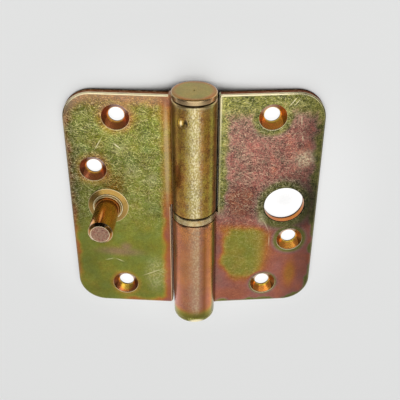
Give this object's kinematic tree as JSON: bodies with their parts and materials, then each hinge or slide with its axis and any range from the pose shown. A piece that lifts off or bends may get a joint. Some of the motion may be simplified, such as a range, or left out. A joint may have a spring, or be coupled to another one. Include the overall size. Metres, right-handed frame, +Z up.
{
  "type": "security butt hinge",
  "caption": "Lift-off butt hinge with round corners, countersunk screw holes, a pin that carries the door on a ball, and a riveted stud that locks the shut leaves together.",
  "frame": {"origin": "on the pin axis, at half the height of the leaves", "axes": "+Z up along the pin, +X along the frame leaf away from the pin, -Y out of the countersunk faces"},
  "size_m": [0.0883, 0.0227, 0.0943],
  "materials": {
    "rose_passivated_steel": "yellow-passivated zinc over steel, satin, rose to gold iridescence",
    "olive_passivated_steel": "yellow-passivated zinc over steel, satin, olive to gold iridescence",
    "gold_passivated_steel": "yellow-passivated zinc over steel, satin, gold",
    "bright_steel": "polished hardened steel"
  },
  "bodies": {
    "frame": {"frame_leaf": "rose_passivated_steel", "hinge_pin": "rose_passivated_steel", "bearing_ring": "gold_passivated_steel", "bearing_ball": "bright_steel"},
    "door": {"door_leaf": "olive_passivated_steel", "top_cap": "olive_passivated_steel", "security_stud": "gold_passivated_steel"}
  },
  "joints": [
    {"name": "door_swing", "type": "hinge", "parent": "frame", "child": "door", "pos_m": [0, 0, 0], "axis": [0, 0, 1], "range_deg": [0, 188]}
  ]
}
